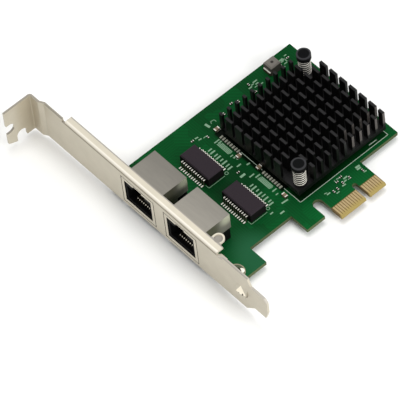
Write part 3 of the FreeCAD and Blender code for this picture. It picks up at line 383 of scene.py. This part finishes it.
# Painted highlight along the flange's bend, and painted shade just under it.
bend = distance_mask(bracket, (BRACKET_FACE + 0.5, 0, FLANGE_TOP + 0.08), (1, 0, 1), 0.3, 0.7)
recolour_where(bracket, overlap(bracket, bend, flanged), "e0dacd")
under_bend = distance_mask(bracket, (BRACKET_FACE, 0, 15.75), (1, 0, 1), 0.3, 0.55)
recolour_where(bracket, overlap(bracket, under_bend, flanged), "8b8270")
far_edge = distance_mask(bracket, (FLANGE_FAR_EDGE, 0, FLANGE_TOP), (1, 0, 1), 0.3, 0.5)
recolour_where(bracket, far_edge, "98938b")

sheared = facing_mask(bracket, "Z", 0.5, "GREATER_THAN")
recolour_where(bracket, overlap(bracket, sheared, beyond(bracket, "Y", FLANGE_HIGH)), "938d81")
recolour_where(bracket, overlap(bracket, sheared, below(bracket, "Y", FLANGE_LOW - 0.1)), "a8a399")
print("tones on the bracket so far:", tone_counts[bracket.name])

# %% [markdown]
# ## The bracket's lance, windows and lug
#
# The raised lance has a painted highlight, with three spots of painted shade, and the slit it was cut from
# has painted shade. Its outline is three straight sides, so three planes pick it out. The cut faces of the
# windows lie in the gap round the jacks and have painted shade. The lug's dimple has painted shade, and its
# raised edge keeps the sheet's colour. These could each be a piece with its own material, but they are all
# one sheet.

# %% Tones of the lance, windows and lug
outer_face = facing_mask(bracket, "X", -0.5)
# Painted shade in the slit under the lance.
slit = distance_mask(bracket, (-60, -3.0, 5.3), (0, 0.3, 1), 0.5, 0.7)
recolour_where(bracket, overlap(bracket, outer_face, slit), "4a4234")
# Painted highlight on the raised lance.
lance_sides = [side_mask(bracket, direction, limit) for direction, limit in (
    ((0, -0.505, 0.864), 8.96), ((0, 0.899, 0.438), 2.23), ((0, -0.294, -0.956), -5.27))]
recolour_where(bracket, overlap(bracket, outer_face, *lance_sides), "fff6e2")
# Painted shade: three dark spots along the lance's lower side.
for y, z in ((-3.9, 6.85), (-2.1, 6.3), (-0.9, 5.9)):
    shade_spot = distance_mask(bracket, (0, y, z), (0, 1, 1), 0.2, 0.5)
    recolour_where(bracket, overlap(bracket, outer_face, shade_spot), "30281e")

# Painted shade on the windows' cut faces.
cut_face = overlap(bracket, facing_mask(bracket, "X", -0.5, "GREATER_THAN"), below(bracket, "X", -58.7),
                   below(bracket, "Y", 60), beyond(bracket, "Y", 19), below(bracket, "Z", 14.9))
recolour_where(bracket, cut_face, "1e1a14")
# Painted shade in the lug's dimple.
dimple = distance_mask(bracket, (-55.2, 13.2, FLANGE_TOP), (1, 1, 0), 1.5, 1.75)
recolour_where(bracket, dimple, "8d8880")
print("tones on the whole bracket:", tone_counts[bracket.name])

# %% [markdown]
# ## Small metal and moulded parts
#
# The land is darker inside its thin outer rim round the vacant hole, and has a painted highlight at its lip.
# Each contact wire has painted shade inside the jack, apart from a painted highlight near the jack's mouth. A
# spot of painted shade stands for a small recess on the inductor's top. The sides of the moulded parts have
# painted shade under their paler tops, and the leads' drops have painted shade from the dark gap beside the
# next part. The gold is yellower at the tongue's tip. The parts are too small for lamps to tell them apart,
# so each finish carries its own painted shade and highlights.

# %% Tones of the small parts
HOLE_X, HOLE_Y = -53, 8.7

land = finishes["copper"]
recolour_where(land, distance_mask(land, (HOLE_X, HOLE_Y, 0), (1, 1, 0), 2.85, 3.05), "4a5440")
# Painted highlight at the hole's lip.
lip = distance_mask(land, (HOLE_X + 1.7, HOLE_Y - 1.0, 0), (1, 1, 0), 0.9, 1.2)
recolour_where(land, lip, "f4eee0")

wire = finishes["contact"]
# Painted highlight on each contact wire near the jack's mouth.
recolour_where(wire, distance_mask(wire, (-57.2, 0, 0), (1, 0, 0), 0.12, 0.22), "f4ecd8")

block = finishes["ferrite"]
# Painted shade on the inductor's sides.
recolour_where(block, facing_mask(block, "Z", 0.5), "4a4742")
# Painted shade: a dark spot for a small recess on the inductor's top.
recolour_where(block, distance_mask(block, (14.05, 64.1, 4.2), (1, 1, 0.5), 0.45, 0.7), "2e2b28")

mould = finishes["mould"]
# Painted shade on the sides of the moulded packages.
recolour_where(mould, facing_mask(mould, "Z", 0.5), "121111")
leads = finishes["tin"]
# Painted shade on the leads' drops and other faces that turn away from the top.
recolour_where(leads, facing_mask(leads, "Z", 0.4), "3d3c2c")
gold = finishes["gold"]
recolour_where(gold, distance_mask(gold, (0, 0, 0), (0, 1, 0), 1.0, 2.6), "a5915a")
print("finishes with tones of their own so far:", len(tone_counts))

# %% [markdown]
# ## The heatsink, its push pins and its springs
#
# The heatsink's pins are nearly black, with painted shade on their sides, and only those at its front edge,
# away from the jacks, get painted light on their sides. A push pin's chamfer gets a painted highlight too,
# and its head is a ring of painted sheen round a core of painted shade. Inside a spring the wire gets painted
# shade. The masks take their centres from the boxes of the push pins and springs, so they follow those pieces
# if the model moves them.

# %% Tones of the heatsink, push pins and springs
sink = finishes["anodised"]
# Painted shade on the pins' sides.
recolour_where(sink, facing_mask(sink, "Z", 0.5), "050505")
# Painted light: a reflection on the sides of the front pins.
lit_sides = overlap(sink, facing_mask(sink, "Y", -0.5), beyond(sink, "X", 7), below(sink, "Y", 21),
                    beyond(sink, "Z", 5.5))
recolour_where(sink, lit_sides, "4d4845")

plastic = finishes["black_plastic"]
# Painted highlight on chamfers of the black plastic.
chamfer = overlap(plastic, facing_mask(plastic, "Z", 0.3, "GREATER_THAN"), facing_mask(plastic, "Z", 0.93))
recolour_where(plastic, chamfer, "6c6e6e")
steel = finishes["spring_steel"]
for side in "ab":
    spring_low, spring_high = [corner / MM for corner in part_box("push_pin_spring_" + side)]
    pin_low, pin_high = [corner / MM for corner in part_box("push_pin_" + side)]
    centre = ((spring_low.x + spring_high.x) / 2, (spring_low.y + spring_high.y) / 2, 0)
    spring_radius = (spring_high.x - spring_low.x) / 2
    head_radius = pin_high.x - centre[0]
    # Painted sheen on the head's ring, and painted shade in its core.
    head_top = beyond(plastic, "Z", pin_high.z - 0.45)
    head = distance_mask(plastic, centre, (1, 1, 0), head_radius + 0.5, head_radius + 0.6)
    recolour_where(plastic, overlap(plastic, head_top, head), "343436")
    core = distance_mask(plastic, centre, (1, 1, 0), head_radius - 0.75, head_radius - 0.45)
    recolour_where(plastic, overlap(plastic, head_top, core), "060708")
    # Painted shade on the inside of each spring's turns.
    inside = distance_mask(steel, centre, (1, 1, 0), spring_radius - 0.3, spring_radius - 0.2)
    recolour_where(steel, inside, "161513")
    print("push pin", side, "head radius", round(head_radius, 2), "mm, spring", round(spring_radius, 2), "mm")

# %% [markdown]
# ## Light and dark areas of the board
#
# The laminate is yellower at the tongue's tip. Between the transformers and the heatsink the green is darker.
# Over the middle of the card it is a little darker than down by the tongue, and in the lower corner it is
# paler. Under and round the heatsink a painted shadow makes it darkest of all, most of all beside the rows of
# resistors and at the outline's near corner. The edges of that shadow are the edges of the printed outline,
# so both are written from the same four numbers.

# %% Tones of the board
OUTLINE_LEFT, OUTLINE_RIGHT = -17.9, 22.8
OUTLINE_LOW, OUTLINE_HIGH = 14.7, 57.5

lacquered = finishes["laminate"]
tip = distance_mask(lacquered, (0, 0, 0), (0, 1, 0), 0.6, 1.4)
recolour_where(lacquered, overlap(lacquered, tip, beyond(lacquered, "X", TONGUE_LEFT)), "9c8a52")

component_face = facing_mask(lacquered, "Z", 0.9, "GREATER_THAN")
darker_between = distance_mask(lacquered, (-30, 38, 0), (1, 0.7, 0), 6, 13)
recolour_where(lacquered, overlap(lacquered, darker_between, component_face), "d2d2d2", "MULTIPLY")
recolour_where(lacquered, distance_mask(lacquered, (0, 45, 0), (0, 1, 0), 28, 40), "dadada", "MULTIPLY")
corner = distance_mask(lacquered, (-43, 7, 0), (1, 0.7, 0), 4, 12)
recolour_where(lacquered, overlap(lacquered, corner, component_face), "1e5636")

# Painted shadow of the heatsink: the board under and round it is darkened, most beside the resistor rows and
# at the outline's near corner.
inner_side = overlap(lacquered, component_face, below(lacquered, "X", OUTLINE_RIGHT),
                     below(lacquered, "Y", OUTLINE_HIGH))
heatsink_shadow = overlap(lacquered, inner_side, beyond(lacquered, "X", OUTLINE_LEFT),
                 beyond(lacquered, "Y", OUTLINE_LOW))
recolour_where(lacquered, heatsink_shadow, "a2b0a4", "MULTIPLY")
rows = overlap(lacquered, inner_side, distance_mask(lacquered, (-16.6, 0, 0), (1, 0, 0), 2.2, 3.4),
               beyond(lacquered, "Y", 22.5))
recolour_where(lacquered, rows, "44524a", "MULTIPLY")
near_corner = distance_mask(lacquered, (-14, 15, 0), (0.35, 1, 0), 2, 7)
recolour_where(lacquered, overlap(lacquered, heatsink_shadow, near_corner), "8c9a8e", "MULTIPLY")
print("tones on the board:", tone_counts[lacquered.name])

# %% [markdown]
# ## Each piece gets its finish
#
# The record gives every node a material slot, and most finishes carry that slot's name, so a loop can hand
# them out. A few nodes take a finish of their own, because parts that share a slot don't all look alike.
# The slots themselves stay as the record names them.

# %% Put the finishes on
OWN_FINISH = {"port_a_contacts": "contact", "port_b_contacts": "contact",
              "bypass_capacitor_bodies": "brown_ceramic",
              "resistor_row_a_terminals": "dull_tin", "resistor_row_b_terminals": "dull_tin"}
slot_of = {part["node"]: part["material_slot"] for part in frame["record"]["subparts"]}
for name, node in nodes.items():
    material = finishes[OWN_FINISH.get(name, slot_of[name])]
    if not node.material_slots:
        node.data.materials.append(material)
    for holder in node.material_slots:
        holder.material = material
print("nodes with a finish:", len(nodes), "of which", len(OWN_FINISH), "have one of their own")

# %% [markdown]
# ## Softened edges
#
# Nothing folded, moulded or machined has a perfectly sharp edge. A narrow bevel gives each edge a thin
# highlight, and its width is written in millimetres beside each node. It could be cut into the mesh, but
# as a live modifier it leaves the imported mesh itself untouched.

# %% Bevel the edges
SOFT_EDGES = {"heatsink": 0.08, "bracket": 0.08, "port_a_shield": 0.2, "port_b_shield": 0.2,
              "transformer_a_body": 0.12, "transformer_b_body": 0.12, "inductor_body": 0.12,
              "push_pin_a": 0.3, "push_pin_b": 0.3}
for name, width in SOFT_EDGES.items():
    bevel = nodes[name].modifiers.new("soft edge", "BEVEL")
    bevel.width = width * MM
    bevel.segments = 2
    bevel.limit_method = "ANGLE"
    bevel.angle_limit = math.radians(35)
    bevel.harden_normals = False
print("pieces with softened edges:", len(SOFT_EDGES))

# %% [markdown]
# ## Round springs
#
# A spring is drawn wire, wound round a rod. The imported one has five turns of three-sided wire, which keeps
# its mesh small. Here each one is a smooth helix of round wire with more turns, in the same cylinder as the
# node it replaces. A spun circle could give the same shape, but a NURBS curve needs only the wire's
# radius, the helix's radius, its rise and its number of turns.

# %% Wind the springs
SPRING_WIRE_MM = 0.46
SPRING_TURNS = 7
POINTS_PER_TURN = 12


def select_only(obj):
    bpy.ops.object.select_all(action="DESELECT")
    obj.select_set(True)
    bpy.context.view_layer.objects.active = obj


def round_spring(node_name):
    low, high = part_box(node_name)
    wire_radius = SPRING_WIRE_MM * MM / 2
    middle = (low + high) / 2
    radius = (high.x - low.x) / 2 - wire_radius
    base = low.z + wire_radius
    rise = high.z - low.z - 2 * wire_radius
    curve = bpy.data.curves.new(node_name + "_wire", "CURVE")
    curve.dimensions = "3D"
    curve.resolution_u = 6
    curve.bevel_depth = wire_radius
    curve.bevel_resolution = 3
    curve.use_fill_caps = True
    steps = SPRING_TURNS * POINTS_PER_TURN
    spline = curve.splines.new("NURBS")
    spline.points.add(steps)
    for n, point in enumerate(spline.points):
        angle = 2 * math.pi * SPRING_TURNS * n / steps
        point.co = (middle.x + radius * math.cos(angle), middle.y + radius * math.sin(angle),
                    base + rise * n / steps, 1)
    spline.order_u = 4
    spline.use_endpoint_u = True
    piece = bpy.data.objects.new(node_name + "_round", curve)
    bpy.context.collection.objects.link(piece)
    select_only(piece)
    bpy.ops.object.convert(target="MESH")
    bpy.ops.object.shade_smooth()
    piece.data.materials.append(finishes["spring_steel"])
    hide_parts(node_name)
    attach(piece, "root")
    print(node_name, "wound with", SPRING_TURNS, "turns and", len(piece.data.polygons), "faces")


for side in "ab":
    round_spring("push_pin_spring_" + side)

# %% [markdown]
# ## The printed legend
#
# White ink marks where parts go: an outline round the heatsink, and plain strokes and two rings beside
# parts. It could be painted in the board's material, but a line of ink is crisp and stands a little proud
# of the lacquer, so each mark is a flat box or ring a few hundredths of a millimetre thick. They are
# joined into two pieces, one for each ink. The marks are lines and rings only and say nothing.

# %% Strips and rings of ink
INK_MM = 0.024


def strip(x0, y0, x1, y1, width):
    """A thin straight strip between two points, all in millimetres."""
    length = math.hypot(x1 - x0, y1 - y0)
    middle = Vector(((x0 + x1) / 2, (y0 + y1) / 2, INK_MM / 2))
    bpy.ops.mesh.primitive_cube_add(size=1, location=middle * MM)
    piece = bpy.context.object
    piece.scale = ((length + width) * MM, width * MM, INK_MM * MM)
    piece.rotation_euler.z = math.atan2(y1 - y0, x1 - x0)
    bpy.ops.object.transform_apply(location=True, rotation=True, scale=True)
    return piece


def ring(x, y, radius, width):
    """A thin flat ring of ink, in millimetres."""
    bpy.ops.mesh.primitive_torus_add(location=Vector((x, y, INK_MM / 2)) * MM, major_segments=32,
                                     minor_segments=6, major_radius=radius * MM, minor_radius=width / 2 * MM)
    piece = bpy.context.object
    piece.scale.z = INK_MM / width
    bpy.ops.object.transform_apply(location=True, rotation=True, scale=True)
    return piece


def joined(name, pieces, ink):
    bpy.ops.object.select_all(action="DESELECT")
    for piece in pieces:
        piece.select_set(True)
    bpy.context.view_layer.objects.active = pieces[0]
    bpy.ops.object.join()
    whole = pieces[0]
    whole.name = name
    whole.data.materials.append(finishes[ink])
    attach(whole, "root")
    print(name, "joined from", len(pieces), "marks")


print("the ink is", INK_MM, "mm thick")

# %% [markdown]
# ## The outline and the strokes
#
# The outline is left open beside the two rows of resistors. The strokes are short and plain, and each is
# written as start x, start y, end x, end y and width. A loop could lay them out evenly, but each sits
# beside its own part, so they are listed by where on the card they lie.

# %% Print the legend
LEFT, RIGHT, LOW, HIGH = OUTLINE_LEFT, OUTLINE_RIGHT, OUTLINE_LOW, OUTLINE_HIGH
OUTLINE = [
    (LEFT, LOW, RIGHT, LOW, 0.2), (RIGHT, LOW, RIGHT, HIGH, 0.2), (RIGHT, HIGH, LEFT, HIGH, 0.2),
    (LEFT, LOW, LEFT, 23.0, 0.2), (LEFT, 34.3, LEFT, 45.0, 0.2), (15.3, 16.0, 18.4, 15.9, 0.3),
]
joined("legend_outline", [strip(*stroke) for stroke in OUTLINE], "ink")

STROKES = {
    "beside the far transformer": [
        (-25.5, 53.4, -24.3, 53.4, 0.5), (-25.7, 52.0, -24.1, 52.0, 0.6), (-25.5, 50.2, -24.4, 50.2, 0.5),
        (-25.8, 48.9, -24.2, 48.9, 0.6), (-25.4, 47.3, -24.4, 47.3, 0.5), (-25.8, 45.8, -24.1, 45.8, 0.6),
        (-25.6, 44.1, -24.4, 44.1, 0.5), (-26.0, 42.7, -24.4, 42.7, 0.6),
    ],
    "beside the near transformer": [
        (-25.5, 31.9, -24.4, 31.9, 0.5), (-26.0, 30.5, -24.2, 30.5, 0.6), (-25.3, 28.9, -24.5, 28.9, 0.5),
        (-26.1, 27.3, -24.6, 27.3, 0.6), (-25.5, 25.8, -24.3, 25.8, 0.5), (-26.0, 24.3, -24.4, 24.3, 0.6),
        (-25.4, 22.6, -24.5, 22.6, 0.5), (-26.2, 21.4, -24.7, 21.4, 0.6),
    ],
    "hatching beside the resistors": [
        (-21.6, 54.5, -19.7, 54.5, 0.5), (-20.7, 53.4, -19.7, 53.4, 0.5), (-21.5, 53.4, -21.5, 47.7, 0.34),
        (-21.0, 53.2, -21.0, 47.4, 0.34), (-20.5, 52.8, -20.5, 47.4, 0.34), (-20.0, 52.4, -20.0, 47.5, 0.34),
        (-21.7, 46.2, -20.9, 46.2, 0.4), (-21.5, 33.4, -19.9, 33.4, 0.5), (-21.5, 32.4, -21.5, 26.6, 0.34),
        (-21.0, 32.4, -21.0, 26.4, 0.34), (-20.5, 32.2, -20.5, 26.4, 0.34), (-20.0, 32.0, -20.0, 26.6, 0.34),
        (-21.4, 24.9, -20.0, 24.9, 0.5), (-21.6, 23.0, -20.9, 23.0, 0.4),
    ],
    "between the transformers and the heatsink": [
        (-22.5, 18.9, -20.4, 18.7, 0.6), (-22.9, 35.0, -21.2, 35.0, 0.5), (-24.9, 37.2, -23.6, 37.2, 0.9),
        (-22.9, 41.4, -21.6, 41.4, 0.5), (-28.4, 18.3, -27.6, 18.3, 0.5), (-25.8, 16.0, -24.6, 16.0, 0.6),
    ],
    "corners round the transformers": [
        (-36.0, 41.4, -28.8, 41.4, 0.2), (-36.0, 41.4, -36.0, 43.0, 0.2), (-36.0, 19.7, -28.8, 19.7, 0.2),
        (-36.0, 19.7, -36.0, 21.3, 0.2),
    ],
    "above the tongue": [
        (-9.7, 11.5, -8.9, 11.3, 0.3), (-9.2, 10.6, -8.2, 10.6, 0.5), (-6.5, 8.7, -5.6, 8.7, 0.4),
        (-3.6, 13.2, -3.6, 12.6, 0.3), (-2.6, 13.2, -1.8, 13.0, 0.4), (-3.0, 9.6, -2.0, 9.5, 0.5),
        (-1.4, 10.6, -0.6, 10.6, 0.5), (-0.6, 11.6, 0.6, 11.6, 0.6), (0.3, 10.3, 1.1, 10.2, 0.4),
        (5.6, 12.1, 6.6, 12.0, 0.8), (5.4, 11.2, 6.4, 11.1, 0.7), (6.2, 8.8, 7.0, 8.7, 0.4),
    ],
    "round the inductor": [
        (18.2, 65.2, 19.4, 65.2, 0.5), (18.2, 64.2, 19.0, 64.2, 0.4), (20.0, 64.6, 20.0, 63.4, 0.4),
        (18.6, 62.9, 19.6, 62.9, 0.4), (20.9, 65.6, 21.6, 65.6, 0.4), (17.0, 62.0, 17.8, 62.0, 0.5),
        (2.6, 63.6, 3.6, 63.6, 0.5), (4.2, 64.1, 4.9, 64.1, 0.4), (5.6, 63.4, 6.4, 63.4, 0.5),
        (4.4, 62.6, 5.4, 62.6, 0.3), (7.0, 62.2, 7.6, 62.2, 0.4), (3.2, 62.0, 3.2, 61.2, 0.3),
        (5.4, 64.6, 6.8, 64.6, 0.5), (18.6, 64.6, 20.0, 64.6, 0.6),
    ],
    "near the upper edge": [
        (-18.6, 62.5, -18.4, 61.2, 0.9), (-16.9, 61.6, -16.6, 62.3, 0.25), (-16.6, 62.4, -15.3, 62.2, 0.25),
        (-15.1, 62.0, -15.1, 61.2, 0.25), (-22.9, 58.8, -21.8, 58.8, 0.3), (-25.1, 60.6, -24.3, 60.5, 0.5),
        (-24.6, 59.3, -23.9, 59.2, 0.5),
    ],
    "beside the outline": [
        (-21.2, 45.0, -20.2, 45.0, 0.6), (-20.7, 43.8, -19.9, 43.8, 0.7), (-19.9, 39.6, -19.2, 39.5, 0.6),
    ],
}
strokes = [strip(*stroke) for group in STROKES.values() for stroke in group]
rings = [ring(-27.5, y, 0.6, 0.2) for y in (41.9, 20.7)]
joined("legend_strokes", strokes + rings, "faint_ink")

# %% [markdown]
# ## The table and the light
#
# The floor is a plain pale sheet just under the push pins. One broad soft lamp stands on the -Y side and
# brightens the near faces, and a second one hangs high over the card. The background could be a lit wall,
# but it would throw its own light back on the card. So the world is white where the camera sees it,
# straight or in a reflection, and a softer grey where it only lights the card.

# %% The table and the world
FLOOR_Z = -3.7
WORLD_LIGHT = 0.7

bpy.ops.mesh.primitive_plane_add(size=3.0, location=(0, 0, FLOOR_Z * MM))
floor = bpy.context.object
floor.name = "floor"
# A matt painted sheet: nearly white, with no mirror of the card in it.
floor.data.materials.append(surface("Pale matt table", "f4f4f2", "f8f8f7", 0.0, 0.9, 40.0, gloss=0.5))

world = bpy.data.worlds.new("studio")
bpy.context.scene.world = world
world.use_nodes = True
sky = world.node_tree
background = sky.nodes["Background"]
background.inputs["Color"].default_value = (1, 1, 1, 1)
path = add_node(sky, "ShaderNodeLightPath")
direct = add_node(sky, "ShaderNodeMath", {"operation": "MAXIMUM"},
                  {0: path.outputs["Is Camera Ray"], 1: path.outputs["Is Glossy Ray"]})
seen = add_node(sky, "ShaderNodeMath", {"operation": "MAXIMUM"},
                {0: direct.outputs[0], 1: path.outputs["Is Transmission Ray"]})
strength = add_node(sky, "ShaderNodeMath", {"operation": "MULTIPLY_ADD", 1: 1 - WORLD_LIGHT, 2: WORLD_LIGHT},
                    {0: seen.outputs[0]})
sky.links.new(strength.outputs[0], background.inputs["Strength"])

# %% [markdown]
# ## The lamps
#
# Small lamps would give hard shadows between the fins. These are discs about 40 cm across, so that every
# shadow has a soft edge, as under a studio's softbox. Both point at the middle of the card.

# %% Lamps
MIDDLE_OF_CARD = (-15, 40, 0)


def soft_lamp(name, place_mm, size_mm, watts):
    """A round soft lamp that points at the middle of the card."""
    place = Vector(place_mm) * MM
    bpy.ops.object.light_add(type="AREA", location=place)
    lamp = bpy.context.object
    lamp.name = name
    lamp.data.shape = "DISK"
    lamp.data.size = size_mm * MM
    lamp.data.energy = watts
    lamp.rotation_euler = (Vector(MIDDLE_OF_CARD) * MM - place).to_track_quat("-Z", "Y").to_euler()
    print(name, "lamp of", watts, "W and", size_mm, "mm")


soft_lamp("key", (60, -520, 420), 380, 2.2)
soft_lamp("top", (60, 120, 850), 450, 2.6)

# %% [markdown]
# ## The camera
#
# A long lens from far away flattens the perspective, as product pictures often do. The camera could be
# aimed with a constraint, but its axes are built here from the direction it looks in and the direction
# that is up for it, which also fixes its roll.

# %% Camera
CAMERA_PLACE_MM = (-601.0, -748.3, 1294.0)
LENS_MM = 425.7
LOOK = Vector((0.3464, 0.4880, -0.8012)).normalized()
UP_HINT = Vector((0.571, 0.568, 0.593))

right = LOOK.cross(UP_HINT).normalized()
up = right.cross(LOOK).normalized()
bpy.ops.object.camera_add(location=Vector(CAMERA_PLACE_MM) * MM)
camera = bpy.context.object
camera.rotation_euler = Matrix((right, up, -LOOK)).transposed().to_euler()
camera.data.sensor_width = 36
camera.data.lens = LENS_MM
camera.data.clip_start = 0.1
camera.data.clip_end = 20
bpy.context.scene.camera = camera
bpy.context.scene.view_settings.view_transform = "Standard"
print("the camera stands", round(Vector(CAMERA_PLACE_MM).length), "mm from the key notch")
